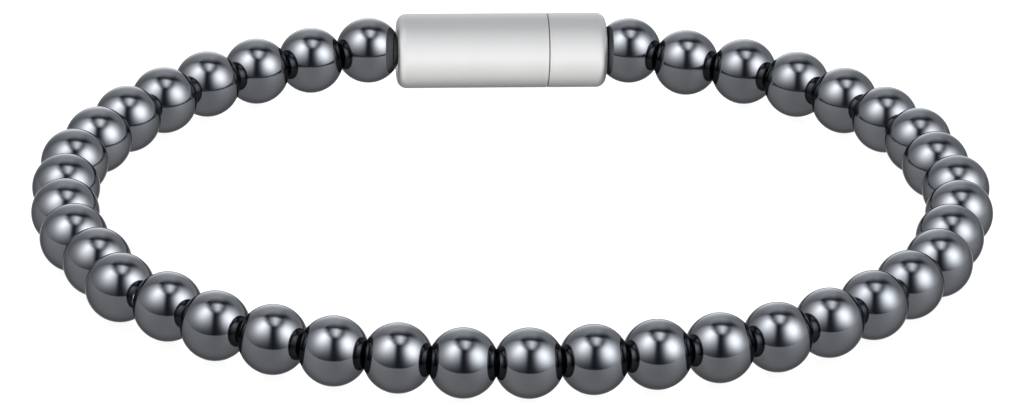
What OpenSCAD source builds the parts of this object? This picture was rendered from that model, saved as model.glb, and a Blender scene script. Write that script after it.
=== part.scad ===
// A bracelet of polished hematite beads on a thread, closed by a steel barrel clasp.
// Millimetres. The loop lies flat with +Z up and the clasp at the back, at +Y. From the front, +X is right.
// The origin is under the middle of the loop's box, on the surface that the bracelet lies on.

/* [Beads] */
// Diameter of a bead
bead_d = 5; // [4.8:0.1:5.1]
// Diameter of the hole drilled through a bead
hole_d = 1.2; // [1.1:0.1:1.6]
// Gap between the ground faces of neighbouring beads
face_gap = 0.04; // [0.02:0.01:0.1]

/* [String] */
// Distance between the centres of neighbouring beads
pitch = 4.59; // [4.5:0.01:4.7]
// Diameter of the thread
thread_d = 0.5; // [0.3:0.1:0.6]

/* [Clasp] */
// Diameter of the clasp
clasp_d = 5.7; // [5.4:0.1:6]
// Length of the closed clasp
clasp_len = 16; // [15:0.1:17]
// Share of that length which the barrel takes, up to the seam
barrel_share = 0.72; // [0.7:0.01:0.76]
// Radius of the rounded edge at each end
end_edge = 0.7; // [0.3:0.1:0.7]
// Width of the seam between barrel and cap
seam = 0.1; // [0.05:0.01:0.2]
// Bevel on each side of the seam
seam_bevel = 0.1; // [0.05:0.05:0.2]
// Distance from the centre of an end bead to the end of the clasp, if the clasp lies midway
seat = 2; // [1.95:0.05:2.2]
// How far the clasp lies from there towards the cap's end bead
clasp_slide = 0.18; // [0:0.02:0.2]
// Gap between an end bead and the edge of the mouth that it sits in
mouth_gap = 0.19; // [0.15:0.01:0.25]
// Turn of the clasp about +Z, which takes the cap's end to the back
clasp_turn = 5.4; // [1:0.2:8]
// How much of that turn is off the line between the end beads, which the mouths allow
clasp_slack = 1; // [0:0.2:1]
// Gap under the clasp, which the taut thread holds clear of the surface
clasp_lift = 0.15; // [0:0.05:0.3]

/* [Hidden] */
$fn = 64;

// The string's runs, from the bead beside the barrel round the front to the bead beside the cap.
// Each row has the number of beads in the run, and the bend of the string at each of them in degrees.
RUN_BEADS = 0;
RUN_BEND = 1;
RUNS = [
    [3, 9.8],
    [3, 8.6],
    [8, 9.6],
    [5, 8],
    [2, 3.1],
    [8, 9],
    [8, 9.9]
];

// Beads that lie out of line. Each row has the bead's number, and how far it is pushed out of the loop,
// or in if negative.
SHIFT_BEAD = 0;
SHIFT_OUT = 1;
SHIFTS = [
    [8, 0.2],
    [11, 0.1],
    [12, -0.1],
    [13, 0.6],
    [15, 0.2],
    [18, -0.15],
    [28, 0.2],
    [29, -0.2],
    [32, -0.5],
    [38, -0.4]
];

// How far the end beads, and the ones next to them, rise towards the height of the clasp's axis, as a share.
RISE = [1, 0.25];

bends = [for (run = RUNS) for (k = [1:run[RUN_BEADS]]) run[RUN_BEND]];
bead_count = len(bends) + 2;
last = bead_count - 1;
bead_r = bead_d / 2;
clasp_r = clasp_d / 2;
axis_height = clasp_lift + clasp_r;
ends_gap = clasp_len + 2 * seat;

// Inside of the clasp
mouth_floor_gap = 0.2;
mouth_bevel = 0.15;
cord_hole_d = hole_d;
cord_hole_depth = 3.5;
cord_end_gap = 0.1;
peg_d = 3.8;
peg_len = 2.4;
peg_gap = 0.1;
recess_floor_gap = 0.15;
barrel_len = clasp_len * barrel_share - seam / 2;
cap_start = barrel_len + seam;

thread_sides = 8;
past = 1; // how far a cutter runs past the surface that it cuts

hematite = [0.27, 0.28, 0.31];
steel = [0.8, 0.8, 0.8];
black = [0.05, 0.05, 0.06];

function unit(v) = v / norm(v);
function lowest(points, c) = min([for (p = points) p[c]]);
function highest(points, c) = max([for (p = points) p[c]]);
function turned(v, a) = [v.x * cos(a) - v.y * sin(a), v.x * sin(a) + v.y * cos(a)];

// Height of a bead's centre, which lies on the surface unless the clasp lifts it.
function height(i) =
    let (from_end = min(i, last - i))
    bead_r + (from_end < len(RISE) ? RISE[from_end] * (axis_height - bead_r) : 0);

// Distance from one bead to the next, seen from above.
function stride(i) = sqrt(pow(pitch, 2) - pow(height(i + 1) - height(i), 2));

// The string from the first bead to the last, with every bend multiplied by ease.
function walk(ease) = [
    for (
        i = 0, heading = 0, p = [0, 0];
        i <= last;
        p = i < last ? p + stride(i) * [cos(heading), sin(heading)] : p,
        heading = i < last - 1 ? heading + ease * bends[i] : heading,
        i = i + 1
    ) p
];

// The ease at which the clasp just fits between the end beads, found by halving.
// More bend brings them closer.
function closing_ease(low, high, tries) =
    let (mid = (low + high) / 2, string = walk(mid))
    tries == 0 ? mid
    : norm(string[last] - string[0]) > ends_gap ? closing_ease(mid, high, tries - 1)
    : closing_ease(low, mid, tries - 1);

// The closed string, turned so that the line from the barrel's end bead to the cap's is clasp_slack short of
// the clasp's own turn.
closed = walk(closing_ease(0.9, 1.1, 30));
clasp_line = closed[last] - closed[0];
square_on = clasp_turn - clasp_slack - atan2(clasp_line.y, clasp_line.x);
string_line = [for (p = closed) turned(p, square_on)];

function shift_of(i) =
    let (found = [for (row = SHIFTS) if (row[SHIFT_BEAD] == i + 1) row[SHIFT_OUT]])
    len(found) > 0 ? found[0] : 0;

// Square to the string and out of the loop, which the string goes round anticlockwise.
function outward(i) = turned(unit(string_line[min(i + 1, last)] - string_line[max(i - 1, 0)]), -90);

laid = [for (i = [0:last]) string_line[i] + shift_of(i) * outward(i)];

// The middle of the loop's box: beads reach furthest in front and at the sides, and the clasp at the back.
clasp_mid = (laid[0] + laid[last]) / 2 + clasp_slide * turned([1, 0], clasp_turn);
clasp_back = end_edge + turned([clasp_len / 2 - end_edge, clasp_r - end_edge], clasp_turn).y;
box_mid = [
    (lowest(laid, 0) + highest(laid, 0)) / 2,
    (lowest(laid, 1) - bead_r + clasp_mid.y + clasp_back) / 2
];

centres = [for (i = [0:last]) [laid[i].x - box_mid.x, laid[i].y - box_mid.y, height(i)]];
clasp_at = [clasp_mid.x - box_mid.x, clasp_mid.y - box_mid.y, axis_height];
clasp_axis = [cos(clasp_turn), sin(clasp_turn), 0];

// From a bead's centre to the plane of its ground face, towards the next bead (side 1) or the one before
// (side -1). Between two beads that plane is halfway, and beside the clasp it is square to the clasp's axis.
function reach(i, side) =
    i + side < 0 ? clasp_axis * pitch / 2
    : i + side > last ? -clasp_axis * pitch / 2
    : (centres[i + side] - centres[i]) / 2;

// Direction of a bead's hole: along the string.
function drill(i) = unit(reach(i, 1) - reach(i, -1));

// The point where the middle of a bead's hole meets the plane of a ground face.
function hole_end(i, side) =
    let (r = reach(i, side))
    centres[i] + drill(i) * (r * r) / (drill(i) * r);

// The thread runs through the holes and bends between the beads, from the barrel's hole round to the cap's.
// Where it passes from one hole to the next, it is halfway between their middles.
cord_end = clasp_len / 2 - cord_hole_depth + cord_end_gap;
thread_path = concat(
    [clasp_at - clasp_axis * cord_end],
    [(centres[0] + reach(0, -1) + hole_end(0, -1)) / 2],
    [for (i = [0:last - 1]) (hole_end(i, 1) + hole_end(i + 1, -1)) / 2],
    [(hole_end(last, 1) + centres[last] + reach(last, 1)) / 2],
    [clasp_at + clasp_axis * cord_end]
);

function bead_name(i) = str("bead_", i < 9 ? "0" : "", i + 1);

// Turns what is built along +Z so that it lies along v.
module along(v) {
    rotate([0, acos(v.z / norm(v)), atan2(v.y, v.x)])
        children();
}

// Everything beyond a bead's ground face.
module beyond_face(i, side) {
    to_face = reach(i, side);
    translate(centres[i])
        along(to_face)
            translate([-bead_d, -bead_d, norm(to_face) - face_gap / 2])
                cube(2 * bead_d);
}

// A ball with both ends ground flat, and a hole drilled through it.
module bead(i) {
    color(hematite)
        difference() {
            translate(centres[i])
                along(drill(i))
                    sphere(d = bead_d);
            beyond_face(i, 1);
            beyond_face(i, -1);
            translate(centres[i])
                along(drill(i))
                    cylinder(d = hole_d, h = 2 * bead_d, center = true);
        }
}

// A ring of points round the thread at its point k, square to the way that the thread runs there.
function thread_ring(k) =
    let (
        before = thread_path[max(k - 1, 0)],
        after = thread_path[min(k + 1, len(thread_path) - 1)],
        ahead = unit(after - before),
        side = unit(cross(ahead, [0, 0, 1])),
        up = cross(side, ahead)
    )
    [for (s = [0:thread_sides - 1]) let (a = 360 * s / thread_sides)
        thread_path[k] + thread_d / 2 * (side * cos(a) + up * sin(a))];

module thread() {
    rings = len(thread_path);
    points = [for (k = [0:rings - 1]) each thread_ring(k)];
    wall = [
        for (k = [0:rings - 2]) for (s = [0:thread_sides - 1])
            let (
                here = k * thread_sides,
                there = here + thread_sides,
                next = (s + 1) % thread_sides
            )
            each [
                [here + s, there + s, there + next],
                [here + s, there + next, here + next]
            ]
    ];
    first_end = [for (s = [0:thread_sides - 1]) s];
    last_end = [for (s = [thread_sides - 1:-1:0]) (rings - 1) * thread_sides + s];
    color(black)
        polyhedron(points, concat(wall, [first_end, last_end]));
}

// Half of the section of one end of the clasp, with its rounded edge at the start and its bevel at the seam.
module end_section(len) {
    difference() {
        union() {
            square([clasp_r - end_edge, len]);
            translate([0, end_edge])
                square([clasp_r, len - end_edge]);
            translate([clasp_r - end_edge, end_edge])
                circle(end_edge);
        }
        translate([clasp_r, len])
            rotate(45)
                square(seam_bevel * sqrt(2), center = true);
    }
}

// The mouth for the end bead, whose centre is to_bead from the end, and behind it the hole for the thread.
module socket(to_bead) {
    mouth_r = sqrt(pow(bead_r, 2) - pow(min(to_bead, pitch / 2), 2)) + mouth_gap;
    mouth_depth = pitch / 2 - to_bead + mouth_floor_gap;
    translate([0, 0, -past])
        cylinder(r = mouth_r, h = mouth_depth + past);
    translate([0, 0, -past])
        cylinder(r1 = mouth_r + mouth_bevel + past, r2 = mouth_r, h = mouth_bevel + past);
    translate([0, 0, -past])
        cylinder(d = cord_hole_d, h = cord_hole_depth + past);
}

// Stands the clasp's parts, which are built along +Z from the barrel's end, where the clasp lies.
module in_place() {
    translate(clasp_at - clasp_axis * clasp_len / 2)
        along(clasp_axis)
            children();
}

// The long half of the clasp, with a recess at the seam for the cap's peg.
module clasp_barrel() {
    recess_depth = peg_len - seam + recess_floor_gap;
    color(steel)
        in_place()
            difference() {
                rotate_extrude()
                    end_section(barrel_len);
                socket(seat + clasp_slide);
                translate([0, 0, barrel_len - recess_depth])
                    cylinder(d = peg_d + 2 * peg_gap, h = recess_depth + past);
            }
}

// The short half, whose peg goes into the barrel.
module clasp_cap() {
    color(steel)
        in_place()
            difference() {
                union() {
                    translate([0, 0, clasp_len])
                        mirror([0, 0, 1])
                            rotate_extrude()
                                end_section(clasp_len - cap_start);
                    translate([0, 0, cap_start - peg_len])
                        cylinder(d = peg_d, h = peg_len + past);
                }
                translate([0, 0, clasp_len])
                    mirror([0, 0, 1])
                        socket(seat - clasp_slide);
            }
}

for (i = [0:last]) {
    bead(i);
}
thread();
clasp_barrel();
clasp_cap();
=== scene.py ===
# %% [markdown]
# # A bracelet of polished stone beads
# The bracelet is a string of 39 dark, mirror bright beads on a thread. A steel barrel clasp closes it at
# the back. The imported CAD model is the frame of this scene. It says where each piece is, and every piece
# that is made here takes the place of one of its nodes, with the same form and a finer surface.

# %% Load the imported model
from math import acos, atan2, ceil, cos, degrees, hypot, pi, radians, sin

import bpy
import numpy as np
from mathutils import Matrix, Vector


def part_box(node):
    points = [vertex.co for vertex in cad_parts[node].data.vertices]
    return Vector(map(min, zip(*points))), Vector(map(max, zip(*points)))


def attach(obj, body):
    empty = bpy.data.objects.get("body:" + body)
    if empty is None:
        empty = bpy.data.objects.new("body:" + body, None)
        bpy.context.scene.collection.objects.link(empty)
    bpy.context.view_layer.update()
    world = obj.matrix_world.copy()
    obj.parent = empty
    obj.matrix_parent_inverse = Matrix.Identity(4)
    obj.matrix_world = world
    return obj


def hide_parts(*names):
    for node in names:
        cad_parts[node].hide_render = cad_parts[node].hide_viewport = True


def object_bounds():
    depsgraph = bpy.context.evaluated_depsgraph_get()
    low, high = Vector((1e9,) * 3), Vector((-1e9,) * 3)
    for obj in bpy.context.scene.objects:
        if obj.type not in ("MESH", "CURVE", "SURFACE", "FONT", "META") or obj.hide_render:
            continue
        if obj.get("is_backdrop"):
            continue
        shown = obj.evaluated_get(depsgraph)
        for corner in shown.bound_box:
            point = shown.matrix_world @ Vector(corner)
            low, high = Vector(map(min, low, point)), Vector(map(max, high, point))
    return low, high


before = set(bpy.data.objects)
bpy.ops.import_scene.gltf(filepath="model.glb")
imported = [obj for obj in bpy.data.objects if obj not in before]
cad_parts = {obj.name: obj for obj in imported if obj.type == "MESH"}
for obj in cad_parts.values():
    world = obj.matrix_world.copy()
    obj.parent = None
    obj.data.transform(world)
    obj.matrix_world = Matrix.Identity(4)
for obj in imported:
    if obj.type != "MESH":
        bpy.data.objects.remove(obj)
cad_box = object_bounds()
MM = 0.001


def in_mm(values):
    """Metres as rounded millimetres, to print."""
    return [round(x / MM, 2) for x in values]


print("nodes:", len(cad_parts), "- box in mm:", [in_mm(corner) for corner in cad_box])

# %% [markdown]
# ## The camera
# The photograph looks down on the loop from the front, through a long lens, so the beads at the back are
# almost as large as those in front. The picture is also turned a little. The camera could be pointed with a
# constraint, but its three axes say exactly the same thing and are easy to check: one to the right, one up
# and one back, away from what it looks at.

# %% Place the camera
CAMERA_ELEVATION = radians(23.53)
CAMERA_ROLL = radians(1.698)
CAMERA_DISTANCE = 521.75 * MM
LOOKS_AT = Vector((-0.033, -1.08, 2.5)) * MM
# Blender takes these two in millimetres.
FOCAL_LENGTH = 251.3
SENSOR_WIDTH = 36

ahead = Vector((0, cos(CAMERA_ELEVATION), -sin(CAMERA_ELEVATION)))
level = Vector((1, 0, 0))
upright = level.cross(ahead)
to_right = cos(CAMERA_ROLL) * level + sin(CAMERA_ROLL) * upright
to_top = cos(CAMERA_ROLL) * upright - sin(CAMERA_ROLL) * level

lens = bpy.data.cameras.new("long_lens")
lens.sensor_fit = "HORIZONTAL"
lens.sensor_width = SENSOR_WIDTH
lens.lens = FOCAL_LENGTH
lens.clip_start = 10 * MM
camera = bpy.data.objects.new("camera", lens)
bpy.context.scene.collection.objects.link(camera)
axes = Matrix((to_right, to_top, -ahead)).transposed().to_4x4()
camera.matrix_world = Matrix.Translation(LOOKS_AT - ahead * CAMERA_DISTANCE) @ axes
bpy.context.scene.camera = camera
print("camera at", in_mm(camera.matrix_world.translation), "mm")

# %% [markdown]
# ## Writing shaders as sums
# A material is a graph of nodes, and most of the nodes in these finishes do arithmetic. Wiring each sum by
# hand is slow to write and hard to read. Here a small class wraps an output of a node, so that a sum on it
# adds a Math node: 1 - mask is one node, and reads as what it is.

# %% Wrap the outputs of nodes
class Wire:
    """An output of a node. Arithmetic on it adds Math nodes."""

    def __init__(self, graph, socket):
        self.graph, self.socket = graph, socket

    def __add__(self, other):
        return self.graph.math("ADD", self, other)

    def __sub__(self, other):
        return self.graph.math("SUBTRACT", self, other)

    def __rsub__(self, other):
        return self.graph.math("SUBTRACT", other, self)

    def __mul__(self, other):
        return self.graph.math("MULTIPLY", self, other)

    def __truediv__(self, other):
        return self.graph.math("DIVIDE", self, other)

    def __neg__(self):
        return self.graph.math("MULTIPLY", self, -1)

    __radd__ = __add__
    __rmul__ = __mul__


print("sums on a wire add Math nodes")

# %% [markdown]
# A second class wraps the whole tree. One method adds a node of any kind, and the others are short names for
# the sums, the mixes of colour and the soft steps that these finishes are made of.

# %% Wrap the node tree
class Graph:
    """The node tree of a material, or of the world."""

    def __init__(self, owner):
        owner.use_nodes = True
        self.tree = owner.node_tree
        self.tree.nodes.clear()

    def node(self, kind, settings=None, sockets=None, output=0):
        """Adds a node: its settings first, then a value or a wire for each socket that is named."""
        made = self.tree.nodes.new(kind)
        for name, value in (settings or {}).items():
            setattr(made, name, value)
        for name, value in (sockets or {}).items():
            if isinstance(value, Wire):
                self.tree.links.new(value.socket, made.inputs[name])
            else:
                made.inputs[name].default_value = value
        return Wire(self, made.outputs[output]) if made.outputs else made

    def math(self, operation, *values):
        """A sum on numbers."""
        return self.node("ShaderNodeMath", {"operation": operation}, dict(enumerate(values)))

    def vector(self, operation, *values, output=0):
        """A sum on vectors."""
        return self.node("ShaderNodeVectorMath", {"operation": operation}, dict(enumerate(values)), output)

    def mix(self, share, first, second):
        """A colour between two others."""
        return self.node("ShaderNodeMix", {"data_type": "RGBA"}, {0: share, 6: first, 7: second}, 2)

    def step(self, value, low, high):
        """Rises smoothly from 0 at low to 1 at high."""
        return self.node("ShaderNodeMapRange", {"interpolation_type": "SMOOTHSTEP"},
                         {"Value": value, "From Min": low, "From Max": high})


def grey(value):
    return (value, value, value, 1)


print("shader helpers are ready")

# %% [markdown]
# ## The light
# Polished beads show the room more than themselves, so the room is the finish. The photograph was made in a
# light tent: two cloth walls left and right of the camera, each with the bright spot of a lamp behind it, a
# dark slit between them for the lens, a lit roof, and a pale wall at the back. All of it is painted as
# brightness by direction, which is soft and has no size or place to get wrong.

# %% Describe the tent by direction
def towards(azimuth, elevation):
    """A direction: azimuth is measured from the camera's side towards the right."""
    a, e = radians(azimuth), radians(elevation)
    return Vector((sin(a) * cos(e), -cos(a) * cos(e), sin(e)))


class Tent:
    """Brightness by direction, for the node tree of the sky or of a lamp."""

    def __init__(self, owner, direction_of):
        self.graph = graph = Graph(owner)
        self.direction = direction_of(graph)
        part = graph.node("ShaderNodeSeparateXYZ", sockets={"Vector": self.direction})
        self.right, self.back, self.up = (Wire(graph, part.socket.node.outputs[k]) for k in range(3))
        self.azimuth = graph.math("ARCTAN2", self.right, -self.back) * (180 / pi)
        self.turned = graph.math("ABSOLUTE", self.azimuth)
        self.elevation = graph.math("ARCSINE", self.up) * (180 / pi)
        self.step = graph.step

    def spot(self, at, tightness):
        """The glow of a lamp behind cloth: 1 in its own direction, and less the further away."""
        closeness = self.graph.vector("DOT_PRODUCT", self.direction, towards(*at), output="Value")
        return self.graph.math("EXPONENT", (closeness - 1) * tightness)


print("towards(0, 0) is the camera's side:", [round(x, 2) for x in towards(0, 0)])

# %% [markdown]
# The sky itself only has the dark of the slit and the corners. Below the level of the table it is as white
# as the table, as if that went on for ever.

# %% Paint the sky
TABLE_WHITE = 1.09
SLIT_DARK = 0.095
world = bpy.data.worlds.new("light_tent")
bpy.context.scene.world = world
sky = Tent(world, lambda graph: graph.node("ShaderNodeTexCoord", output="Generated"))
below = sky.step(sky.elevation, -9, -11)
shade = sky.graph.mix(below, (SLIT_DARK * 0.85, SLIT_DARK, SLIT_DARK * 1.25, 1), grey(TABLE_WHITE))
glow = sky.graph.node("ShaderNodeBackground", sockets={"Color": shade})
sky.graph.node("ShaderNodeOutputWorld", sockets={"Surface": glow})
print("the sky's nodes:", len(sky.graph.tree.nodes))

# %% [markdown]
# The lit cloth has four parts. Each is a function that adds its nodes to a tent and gives their sum, and
# each soft edge is a step from one angle to another.

# %% Describe the lit cloth
def left_wall(tent):
    """Its lamp is high up. It ends at the lens's slit, at the back corner and at the roof."""
    cloth = 4.0 * tent.spot((-64, 56), 19) + 5.3 * tent.spot((-56, 50), 6.2)
    lit = cloth * tent.step(tent.right, -0.01, -0.29) * tent.step(tent.azimuth, -131, -117)
    dim = 0.91 * tent.step(tent.azimuth, -40, -110) * tent.step(tent.turned, 170, 136)
    return lit * tent.step(tent.elevation, 74, 61) + dim * tent.step(tent.elevation, 62, 59)


def right_wall(tent):
    """Its lamp is lower, and closer to the camera."""
    cloth = 9.0 * tent.spot((62, 33), 9) + 2.3 * tent.spot((64, 54), 9.9)
    lit = cloth * tent.step(tent.right, -0.01, 0.52) * tent.step(tent.azimuth, 135, 110)
    low = 1.13 + 0.38 * tent.step(tent.elevation, 22, 4)
    dim = low * tent.step(tent.azimuth, 40, 110) * tent.step(tent.turned, 170, 136)
    return lit * tent.step(tent.elevation, 74, 48) + dim * tent.step(tent.elevation, 55, 29)


def roof(tent):
    """A pane of light overhead, wider towards the back, with a faint glow to its left."""
    depth = tent.back / tent.up
    aside = tent.graph.math("ABSOLUTE", tent.right / tent.up - 0.11) - 0.14 * depth
    pane = tent.step(depth, -0.52, -0.16) * tent.step(depth, 0.29, 0.04) * tent.step(aside, 0.38, -0.06)
    return 6.2 * pane * tent.step(tent.up, 0.3, 0.5) + 2.4 * tent.spot((-68, 67), 59)


def back_wall(tent):
    """It is lit from its foot, a little to the left, and dims to the right."""
    cloth = (2.2 + 7.3 * tent.spot((-176, 3), 17)) * (1 - 0.28 * tent.step(tent.right, 0.08, 0.36))
    return cloth * tent.step(tent.turned, 129, 171) * tent.step(tent.elevation, 78, 45)


def tent_glow(tent):
    return left_wall(tent) + right_wall(tent) + roof(tent) + back_wall(tent)


print("the left lamp is at", [round(x, 2) for x in towards(-64, 56)], "and the right at",
      [round(x, 2) for x in towards(62, 33)])

# %% [markdown]
# The cloth lights the stone, the thread and the floor, but not the clasp. On the photograph the steel shows
# none of the hard hot spots that the beads do, as if it had been lit by itself. A sky can't leave anything
# out, but a lamp can, through light linking. So each light is a box of six square lamps round the bracelet,
# one on each face, which are painted by direction and meet without a seam.

# %% Build a box of lamps
BOX_REACH = 1.6


def light_box(name, glow, colour=(1, 1, 1)):
    """Six square area lamps, as the faces of a cube. glow(tent) is their brightness by direction."""
    sides = {"front": (0, 0), "right": (90, 0), "back": (180, 0), "left": (-90, 0)}
    lamps = []
    for face, at in {**sides, "top": (0, 90), "foot": (0, -90)}.items():
        data = bpy.data.lights.new(f"{name}_{face}", "AREA")
        data.size = 2 * BOX_REACH
        # With this energy, a strength of 1 is a brightness of 1.
        data.energy = pi * data.size ** 2
        data.color = colour
        tent = Tent(data, lambda graph: graph.vector(
            "NORMALIZE", graph.node("ShaderNodeNewGeometry", output="Position")))
        emission = tent.graph.node("ShaderNodeEmission", sockets={"Strength": glow(tent)})
        tent.graph.node("ShaderNodeOutputLight", sockets={"Surface": emission})
        made = bpy.data.objects.new(data.name, data)
        made.location = towards(*at) * BOX_REACH
        made.rotation_euler = towards(*at).to_track_quat("Z", "Y").to_euler()
        made.visible_camera = False
        bpy.context.scene.collection.objects.link(made)
        lamps.append(made)
    return lamps


tent_lamps = light_box("tent", tent_glow)
print("the tent:", [made.name for made in tent_lamps])

# %% [markdown]
# ## The floor
# The bracelet lies on a pale sheet of acrylic, lit from below as a light table is, so that next to no
# shadow shows. Its glow is the flat grey in the lower half of every bead. The sheet's front edge is close
# before the bracelet, so the horizon is lower in the front beads than in the ones at the back.

# %% Lay the floor
def new_object(name, points, faces):
    """A mesh object from points in metres and faces that name their corners."""
    mesh = bpy.data.meshes.new(name)
    mesh.from_pydata([tuple(p) for p in points], [], faces)
    made = bpy.data.objects.new(name, mesh)
    bpy.context.scene.collection.objects.link(made)
    return made


FLOOR_REACH = 3.0
FRONT_EDGE = -45.5 * MM
FLOOR_GLOW = 0.94
corners = [(-FLOOR_REACH, FRONT_EDGE, 0), (FLOOR_REACH, FRONT_EDGE, 0), (FLOOR_REACH, FLOOR_REACH, 0),
           (-FLOOR_REACH, FLOOR_REACH, 0)]
floor = new_object("pale_floor", corners, [(0, 1, 2, 3)])
floor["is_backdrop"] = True

acrylic = bpy.data.materials.new("pale_acrylic")
sheet = Graph(acrylic)
finish = sheet.node("ShaderNodeBsdfPrincipled", sockets={
    "Base Color": grey(0.04), "Roughness": 0.5, "Emission Color": grey(1), "Emission Strength": FLOOR_GLOW})
sheet.node("ShaderNodeOutputMaterial", sockets={"Surface": finish})
floor.data.materials.append(acrylic)
print("floor:", 2 * FLOOR_REACH, "m wide")

# %% [markdown]
# ## Measuring the string
# The beads are drilled and ground by the frame's own measures, so they are read from its nodes and not
# repeated. A bead's box alone doesn't give its middle, because its ends are ground off. But nearly all its
# corners lie on one ball, so the ball that fits them best has the bead's centre and radius.

# %% Fit a ball to every bead
names = sorted(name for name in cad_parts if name.startswith("bead_"))
low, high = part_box(names[len(names) // 2])
BEAD_RADIUS = (high.z - low.z) / 2


def ball_centre(name):
    """The middle of the ball that a bead was ground from."""
    corners = np.array([v.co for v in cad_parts[name].data.vertices])
    centre = sum(np.array(corner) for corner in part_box(name)) / 2
    # Each round drops more of the corners that are in the hole or on a ground face.
    for tolerance in (0.4 * MM, 0.1 * MM, 0.05 * MM, 0.02 * MM):
        on_ball = corners[abs(np.linalg.norm(corners - centre, axis=1) - BEAD_RADIUS) < tolerance]
        terms = np.hstack([2 * on_ball, np.ones((len(on_ball), 1))])
        centre = np.linalg.lstsq(terms, (on_ball ** 2).sum(axis=1), rcond=None)[0][:3]
    return Vector(centre)


centres = [ball_centre(name) for name in names]
last = len(centres) - 1
half_way = last // 2
pitch = (centres[half_way + 1] - centres[half_way]).length
print(f"{len(centres)} beads of {2 * BEAD_RADIUS / MM:.3f} mm, {pitch / MM:.3f} mm apart")

# %% [markdown]
# The clasp lies between the end beads, but not quite in line with them: it has some slack in its mouths,
# and has turned by a degree and slid towards the cap's bead.

# %% Find the clasp's middle and its axis
CLASP_SLACK = radians(1)
CLASP_SLIDE = 0.18 * MM
clasp_axis = Matrix.Rotation(CLASP_SLACK, 3, "Z") @ (centres[last] - centres[0]).normalized()
clasp_middle = (centres[0] + centres[last]) / 2 + clasp_axis * CLASP_SLIDE
print("the clasp's axis is", [round(x, 3) for x in clasp_axis])

# %% [markdown]
# Each bead is ground flat on the plane halfway to its neighbour, and drilled along the string. From its
# centre to that plane is one step, here called its reach.

# %% Find each bead's ground faces and its hole
def reach(i, side):
    """From a bead's centre to the middle of the face towards the next bead (1) or the one before (-1)."""
    if not 0 <= i + side <= last:
        return -side * clasp_axis * pitch / 2
    return (centres[i + side] - centres[i]) / 2


def drill(i):
    """The way that a bead's hole runs."""
    return (reach(i, 1) - reach(i, -1)).normalized()


def hole_end(i, side):
    """Where the middle of the hole meets the plane of a ground face."""
    r = reach(i, side)
    return centres[i] + drill(i) * (r.dot(r) / drill(i).dot(r))


bends = [degrees(reach(i, 1).angle(-reach(i, -1))) for i in range(1, last)]
print(f"the string bends by {min(bends):.1f} to {max(bends):.1f} degrees at a bead")

# %% [markdown]
# ## The beads
# A real bead is a ball of stone, drilled, and ground flat where it meets the next, with every edge broken a
# little by tumbling. A boolean cut from a sphere would leave ragged shading next to the edges, and a mirror
# shows that. So the surface is built as lines that lie side by side round the hole's axis. Each starts in
# the hole's mouth, and runs over the ground face, round the broken edge, along the ball to the other end,
# and back through the hole.

# %% Draw one line over a bead
HOLE_RADIUS = 0.6 * MM
HOLE_RIM = 0.08 * MM
HOLE_RIM_STEPS = 2
RIM = 0.07 * MM
RIM_STEPS = 4
BALL_STEPS = 34
TOUCH = 0.004 * MM


def corner_curve(start, corner, end, steps):
    """Points that round off a corner, from start to end, with both ends left out."""
    ts = [k / (steps + 1) for k in range(1, steps + 1)]
    return [start * (1 - t) ** 2 + corner * 2 * t * (1 - t) + end * t ** 2 for t in ts]


def ball_point(axis, out, angle):
    return (axis * cos(angle) + out * sin(angle)) * BEAD_RADIUS


def cut_angle(axis, out, face):
    """The angle from the axis at which the ball meets a ground face."""
    depth = face.length - TOUCH / 2
    a, b = axis.dot(face.normalized()), out.dot(face.normalized())
    return atan2(b, a) + acos(depth / BEAD_RADIUS / hypot(a, b))


def face_point(axis, out, face, distance):
    """The point of a ground face at that distance from the hole's axis."""
    normal = face.normalized()
    along = (face.length - TOUCH / 2 - distance * out.dot(normal)) / axis.dot(normal)
    return axis * along + out * distance


def end_profile(axis, out, face):
    """From inside the hole, over the ground face and its broken edge, to the ball. Also the angle there."""
    angle = cut_angle(axis, out, face)
    edge_distance = BEAD_RADIUS * sin(angle)
    hole_edge = face_point(axis, out, face, HOLE_RADIUS)
    in_hole = hole_edge - axis * HOLE_RIM
    on_face = face_point(axis, out, face, HOLE_RADIUS + HOLE_RIM)
    before_edge = face_point(axis, out, face, edge_distance - RIM)
    edge = ball_point(axis, out, angle)
    ball_angle = angle + RIM / BEAD_RADIUS
    points = [in_hole, *corner_curve(in_hole, hole_edge, on_face, HOLE_RIM_STEPS), on_face, before_edge]
    points += corner_curve(before_edge, edge, ball_point(axis, out, ball_angle), RIM_STEPS)
    return points, ball_angle


def bead_profile(axis, out, next_face, previous_face):
    """One line over the bead's surface, in the half plane of the direction out."""
    top, start = end_profile(axis, out, next_face)
    bottom, rest = end_profile(-axis, out, previous_face)
    end = pi - rest
    ball = [ball_point(axis, out, start + (end - start) * k / BALL_STEPS) for k in range(BALL_STEPS + 1)]
    return top + ball + bottom[::-1]


print(f"ground ends are rounded over {RIM / MM:.2f} mm, and holes over {HOLE_RIM / MM:.2f} mm")

# %% [markdown]
# The ground faces lean towards each other where the string bends. So every line round the axis is a little
# different, and each bead is built by itself and not copied from the first.

# %% Join the lines into beads
ROUND_STEPS = 72


def joined_lines(name, lines):
    """A smooth mesh from closed lines over a surface, which go round an axis side by side."""
    count, length = len(lines), len(lines[0])
    points = [p for line in lines for p in line]
    faces = []
    for s in range(count):
        here, there = s * length, (s + 1) % count * length
        for k in range(length):
            after = (k + 1) % length
            faces.append((here + k, here + after, there + after, there + k))
    made = new_object(name, points, faces)
    made.data.shade_smooth()
    return made


def make_bead(i):
    axis = drill(i)
    side = axis.cross(Vector((0, 0, 1))).normalized()
    up = side.cross(axis)
    outs = [side * cos(a) + up * sin(a) for a in (2 * pi * s / ROUND_STEPS for s in range(ROUND_STEPS))]
    lines = [bead_profile(axis, out, reach(i, 1), reach(i, -1)) for out in outs]
    return joined_lines(f"polished_{names[i]}", [[centres[i] + p for p in line] for line in lines])


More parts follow.
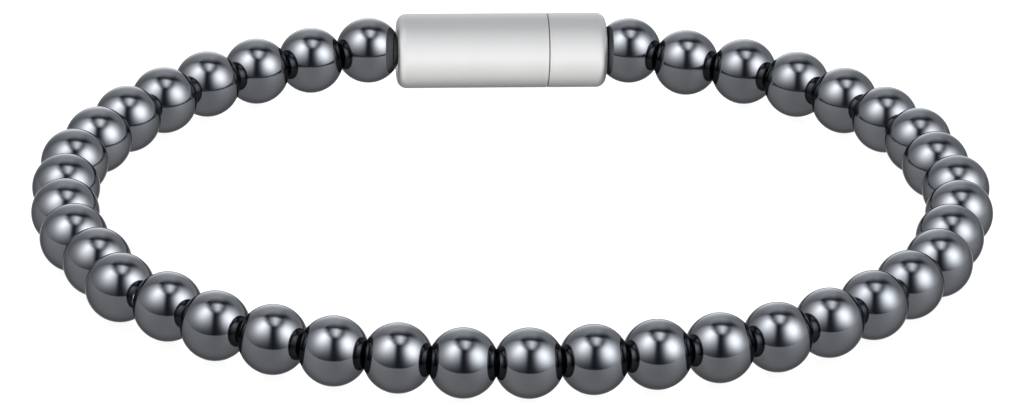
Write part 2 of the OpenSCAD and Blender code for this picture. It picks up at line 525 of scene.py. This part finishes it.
beads = [make_bead(i) for i in range(len(names))]
print(f"{len(beads)} beads of {2 * len(beads[0].data.polygons)} triangles each")

# %% [markdown]
# ## The thread
# The thread is three plies twisted together. It only shows as a dark glint at the ends of the clasp, but it
# is what the beads hang on, so it is there all the way. A curve with a round bevel would be a smooth wire.
# Three thin tubes that wind round one path give the ridges of a real cord.

# %% Find the thread's path
THREAD_RADIUS = 0.25 * MM
THREAD_END = 4.6 * MM

between = [(hole_end(i, 1) + hole_end(i + 1, -1)) / 2 for i in range(last)]
at_barrel = (centres[0] + reach(0, -1) + hole_end(0, -1)) / 2
at_cap = (hole_end(last, 1) + centres[last] + reach(last, 1)) / 2
to_end = clasp_axis * THREAD_END
path = [clasp_middle - to_end, at_barrel, *between, at_cap, clasp_middle + to_end]
print(f"the thread is {sum((b - a).length for a, b in zip(path, path[1:])) / MM:.1f} mm long")

# %% [markdown]
# The path has a corner between every two beads, and a real thread bends more gently. So a smooth curve is
# drawn through its points. Between two of them it is a cubic that takes its slopes from their neighbours.

# %% Smooth the path
PATH_STEP = 0.12 * MM


def smooth_path(points, step):
    """Points about a step apart on a smooth curve through all the points."""
    ends = [2 * points[0] - points[1], *points, 2 * points[-1] - points[-2]]
    found = []
    for a, b, c, d in zip(ends, ends[1:], ends[2:], ends[3:]):
        steps = max(2, ceil((c - b).length / step))
        for k in range(steps):
            t = k / steps
            found.append((2 * b + (c - a) * t + (2 * a - 5 * b + 4 * c - d) * t ** 2
                          + (3 * b - a - 3 * c + d) * t ** 3) / 2)
    return found + [points[-1]]


thread_line = smooth_path(path, PATH_STEP)
print("the smooth path has", len(thread_line), "points")

# %% [markdown]
# Each ply is a row of small rings of eight corners. Their middles turn round the path as they go along it,
# by a full turn on every twist length.

# %% Twist three plies along the path
PLIES = 3
PLY_SIDES = 8
PLY_RADIUS = 0.125 * MM
TWIST_LENGTH = 1.4 * MM


def make_thread(line):
    travelled = 0
    plies = [[] for _ in range(PLIES)]
    for k, here in enumerate(line):
        forward = (line[min(k + 1, len(line) - 1)] - line[max(k - 1, 0)]).normalized()
        side = forward.cross(Vector((0, 0, 1))).normalized()
        up = side.cross(forward)
        travelled += (here - line[k - 1]).length if k else 0
        for ply in range(PLIES):
            turn = 2 * pi * (travelled / TWIST_LENGTH + ply / PLIES)
            middle = here + (side * cos(turn) + up * sin(turn)) * (THREAD_RADIUS - PLY_RADIUS)
            ring = [middle + (side * cos(a) + up * sin(a)) * PLY_RADIUS
                    for a in (2 * pi * s / PLY_SIDES for s in range(PLY_SIDES))]
            plies[ply].append(ring)
    points, faces = [], []
    for rings in plies:
        base = len(points)
        points += [p for ring in rings for p in ring]
        for k in range(len(rings) - 1):
            a = base + k * PLY_SIDES
            b = a + PLY_SIDES
            for s in range(PLY_SIDES):
                after = (s + 1) % PLY_SIDES
                faces.append((a + s, a + after, b + after, b + s))
        faces += [tuple(base + s for s in reversed(range(PLY_SIDES))),
                  tuple(base + (len(rings) - 1) * PLY_SIDES + s for s in range(PLY_SIDES))]
    made = new_object("twisted_thread", points, faces)
    made.data.shade_smooth()
    return made


thread = make_thread(thread_line)
print("thread:", len(thread.data.polygons), "faces")

# %% [markdown]
# ## The clasp
# Both halves are turned on a lathe from steel bar, so each is one profile spun round the clasp's axis. The
# profile goes from the bottom of the thread's hole out through the mouth that the end bead sits in, round
# the soft outer edge, along the barrel, and in again at the seam, where a small bevel catches the light.
# Bevelling a cylinder would do for the outside, but the profile also makes the mouth, the recess and the
# peg in one go.

# %% Draw the profile of an end piece
CLASP_RADIUS = (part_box("clasp_barrel")[1].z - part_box("clasp_barrel")[0].z) / 2
CLASP_LENGTH = 16 * MM
BARREL_SHARE = 0.72
SEAM = 0.05 * MM
SEAM_BEVEL = 0.04 * MM
END_EDGE = 0.7 * MM
END_EDGE_STEPS = 12
MOUTH_GAP = 0.19 * MM
MOUTH_FLOOR_GAP = 0.2 * MM
MOUTH_BEVEL = 0.15 * MM
THREAD_HOLE_DEPTH = 3.5 * MM


def mouth(end_bead):
    """Depth and radius of the mouth that just takes an end bead."""
    to_bead = abs((centres[end_bead] - clasp_middle).dot(clasp_axis)) - CLASP_LENGTH / 2
    return pitch / 2 - to_bead + MOUTH_FLOOR_GAP, (BEAD_RADIUS ** 2 - to_bead ** 2) ** 0.5 + MOUTH_GAP


def outside(length, end_bead):
    """The profile of one end piece, as distance from its end and from the axis, up to the seam."""
    flat = CLASP_RADIUS - END_EDGE
    depth, radius = mouth(end_bead)
    profile = [(THREAD_HOLE_DEPTH, 0), (THREAD_HOLE_DEPTH, HOLE_RADIUS), (depth, HOLE_RADIUS)]
    profile += [(depth, radius), (MOUTH_BEVEL, radius), (0, radius + MOUTH_BEVEL)]
    for k in range(END_EDGE_STEPS + 1):
        a = pi / 2 * k / END_EDGE_STEPS
        profile.append((END_EDGE * (1 - cos(a)), flat + END_EDGE * sin(a)))
    stretch = length - SEAM_BEVEL - END_EDGE
    rings = ceil(stretch / MM)
    profile += [(END_EDGE + stretch * k / rings, CLASP_RADIUS) for k in range(1, rings + 1)]
    return profile + [(length, CLASP_RADIUS - SEAM_BEVEL)]


print("mouths, depth and radius in mm:", in_mm(mouth(0)), in_mm(mouth(last)))

# %% [markdown]
# At the seam, the barrel's profile goes on into a recess, and the cap's goes on round a peg that fills it.
# The edges of the seam and of the mouths have to stay crisp on a smooth mesh, so they are marked as sharp.

# %% Turn the two halves
RECESS_RADIUS, RECESS_DEPTH = 2.0 * MM, 2.45 * MM
PEG_RADIUS, PEG_LENGTH = 1.9 * MM, 2.4 * MM
TURN_STEPS = 144
SHARP_FROM = radians(35)


def turned(name, profile, end, inward):
    """Spins a profile that starts and ends on the axis. It starts at a point and runs inward from there."""
    across = inward.cross(Vector((0, 0, 1))).normalized()
    up = across.cross(inward)
    points, faces = [end + inward * profile[0][0], end + inward * profile[-1][0]], []
    middle = profile[1:-1]
    for s in range(TURN_STEPS):
        a = 2 * pi * s / TURN_STEPS
        out = across * cos(a) + up * sin(a)
        points += [end + inward * x + out * r for x, r in middle]
    for s in range(TURN_STEPS):
        here, there = 2 + s * len(middle), 2 + (s + 1) % TURN_STEPS * len(middle)
        faces += [(0, there, here), (1, here + len(middle) - 1, there + len(middle) - 1)]
        faces += [(here + k, there + k, there + k + 1, here + k + 1) for k in range(len(middle) - 1)]
    made = new_object(name, points, faces)
    made.data.shade_smooth()
    made.data.set_sharp_from_angle(angle=SHARP_FROM)
    return made


seam_at = BARREL_SHARE * CLASP_LENGTH
barrel_length = seam_at - SEAM / 2
cap_length = CLASP_LENGTH - seam_at - SEAM / 2
recess_floor = barrel_length - RECESS_DEPTH
barrel_profile = outside(barrel_length, 0) + [
    (barrel_length, RECESS_RADIUS), (recess_floor, RECESS_RADIUS), (recess_floor, 0)]
cap_profile = outside(cap_length, last) + [
    (cap_length, PEG_RADIUS), (cap_length + PEG_LENGTH, PEG_RADIUS), (cap_length + PEG_LENGTH, 0)]
half = clasp_axis * CLASP_LENGTH / 2
barrel = turned("turned_clasp_barrel", barrel_profile, clasp_middle - half, clasp_axis)
cap = turned("turned_clasp_cap", cap_profile, clasp_middle + half, -clasp_axis)
print(f"barrel {barrel_length / MM:.2f} mm and cap {cap_length / MM:.2f} mm long")

# %% [markdown]
# ## The finishes
# The stone is an iron ore that takes a polish like dark glass and mirrors like metal, so it is set up as a
# metal with a dark, slightly blue colour. Up close the polish is not perfect: there is a faint haze, and
# fine hairlines from tumbling. These vary the roughness and tilt the surface a little, and all of them are
# laid out in millimetres in space, so that no two beads are alike.

# %% Polish the stone
def millimetres(graph):
    """The place of a point on the object, in millimetres."""
    place = graph.node("ShaderNodeTexCoord", output="Object")
    return graph.vector("MULTIPLY", place, (1 / MM, 1 / MM, 1 / MM))


def noise(graph, place, scale, detail):
    return graph.node("ShaderNodeTexNoise", sockets={"Vector": place, "Scale": scale, "Detail": detail})


stone = bpy.data.materials.new("polished_hematite")
g = Graph(stone)
place = millimetres(g)
cloud = noise(g, place, 0.35, 3.0)
haze = noise(g, place, 1.3, 4.0)
stretched = g.vector("MULTIPLY", place, (1.5, 22.0, 7.0))
hairlines = g.step(noise(g, stretched, 1.0, 2.0), 0.62, 0.74)
colour = g.mix(g.step(cloud, 0.35, 0.65), (0.090, 0.095, 0.103, 1), (0.101, 0.106, 0.114, 1))
tilt = g.node("ShaderNodeBump", sockets={"Strength": 0.05, "Distance": 0.01 * MM, "Height": hairlines})
finish = g.node("ShaderNodeBsdfPrincipled", sockets={
    "Base Color": colour, "Metallic": 1.0, "Specular Tint": grey(0.415),
    "Roughness": 0.07 + 0.05 * haze + 0.04 * hairlines, "Normal": tilt})
g.node("ShaderNodeOutputMaterial", sockets={"Surface": finish})
print("stone:", len(g.tree.nodes), "nodes")

# %% [markdown]
# The clasp has a satin finish: the bar was turned, then blasted with fine glass beads. That leaves an even,
# soft sheen with a trace of the turning, in rings round the axis.

# %% Blast the steel
steel = bpy.data.materials.new("satin_steel")
g = Graph(steel)
turn_back = -atan2(clasp_axis.y, clasp_axis.x)
along = g.node("ShaderNodeVectorRotate", {"rotation_type": "Z_AXIS"},
               {"Vector": millimetres(g), "Angle": turn_back})
rings = noise(g, g.vector("MULTIPLY", along, (9.0, 0.35, 0.35)), 1.0, 3.0)
grain = noise(g, along, 16.0, 2.0)
patches = noise(g, along, 0.6, 3.0)
colour = g.mix(patches, (0.60, 0.60, 0.60, 1), (0.64, 0.64, 0.64, 1))
tilt = g.node("ShaderNodeBump", sockets={
    "Strength": 0.12, "Distance": 0.01 * MM, "Height": 0.6 * rings + 0.4 * grain})
finish = g.node("ShaderNodeBsdfPrincipled", sockets={
    "Base Color": colour, "Metallic": 1.0,
    "Roughness": 0.36 + 0.06 * rings + 0.04 * patches, "Normal": tilt})
g.node("ShaderNodeOutputMaterial", sockets={"Surface": finish})
print("steel:", len(g.tree.nodes), "nodes")

# %% [markdown]
# The thread is black and waxed. Its fibres run along the plies, and show as fine light and dark streaks.

# %% Wax the thread
wax = bpy.data.materials.new("waxed_thread")
g = Graph(wax)
place = millimetres(g)
fibres = noise(g, g.vector("MULTIPLY", place, (9.0, 9.0, 30.0)), 1.0, 2.0)
colour = g.mix(fibres, (0.006, 0.006, 0.008, 1), (0.03, 0.03, 0.034, 1))
tilt = g.node("ShaderNodeBump", sockets={"Strength": 0.4, "Distance": 0.02 * MM, "Height": fibres})
finish = g.node("ShaderNodeBsdfPrincipled", sockets={
    "Base Color": colour, "Roughness": 0.45 + 0.2 * fibres, "Normal": tilt})
g.node("ShaderNodeOutputMaterial", sockets={"Surface": finish})
print("thread:", len(g.tree.nodes), "nodes")

# %% [markdown]
# ## Put the pieces in the frame
# Every piece rides on the bracelet's one body, takes its finish, and hides the CAD node that it stands for.

# %% Dress the frame
def dress(piece, node, material):
    piece.data.materials.append(material)
    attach(piece, "root")
    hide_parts(node)


for bead, name in zip(beads, names):
    dress(bead, name, stone)
dress(thread, "thread", wax)
dress(barrel, "clasp_barrel", steel)
dress(cap, "clasp_cap", steel)

print("dressed nodes:", len([*beads, thread, barrel, cap]))

# %% [markdown]
# The tent's lamps leave out the clasp, and so does the glow of the floor. The clasp has a light box of its
# own. It is bright all over the front and overhead, and dims towards the sides, sooner on the right, so that
# the soft edges of the two ends turn dark. The floor, the thread and the beads are no screen to it, because
# part of its light stands for the floor's own. It is a shade warm, to make up for the blue of the sky.

# %% Light the clasp by itself
def linked(name, things, state):
    """A collection of what a lamp is only for, or leaves out."""
    made = bpy.data.collections.new(name)
    for thing in things:
        made.objects.link(thing)
    for member in made.collection_objects:
        member.light_linking.link_state = state
    return made


SHADE_WARM = (0.973, 0.967, 0.955)


def clasp_glow(tent):
    """Bright in front and overhead, and dimmer behind. Left and right dim over angles of their own."""
    above = tent.step(tent.up, -0.35, 0)
    level = tent.graph.math("SQRT", 1 - tent.up * tent.up)
    aside = tent.step(tent.azimuth, -92, -118) + tent.step(tent.azimuth, 40, 100)
    forward = 1 - 2 * aside
    front = 0.51 + 0.57 * level * forward + 0.22 * above + 0.2 * tent.spot((0, 0), 10)
    overhead = 0.62 * tent.step(tent.up, -0.05, 0.15)
    behind = 0.35 * tent.step(tent.back, 0.7, 1) * tent.step(tent.up, -0.05, 0.05)
    return tent.graph.math("MAXIMUM", front, overhead) + behind


not_the_clasp = linked("all_but_the_clasp", [barrel, cap], "EXCLUDE")
for lit in (floor, *tent_lamps):
    lit.light_linking.receiver_collection = not_the_clasp
only_the_clasp = linked("only_the_clasp", [barrel, cap], "INCLUDE")
seen_through = linked("all_but_floor_and_string", [floor, thread, *beads], "EXCLUDE")
for made in light_box("clasp", clasp_glow, SHADE_WARM):
    made.light_linking.receiver_collection = only_the_clasp
    made.light_linking.blocker_collection = seen_through

# %% [markdown]
# ## The last step
# The picture's tones go straight to the screen, so that white stays white. Then the box of what was made
# here is printed, as the CAD's was at the start.

# %% Print the made box and finish
scene = bpy.context.scene
scene.view_settings.view_transform = "Standard"
visual_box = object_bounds()
print("visual box in mm:", [in_mm(corner) for corner in visual_box])
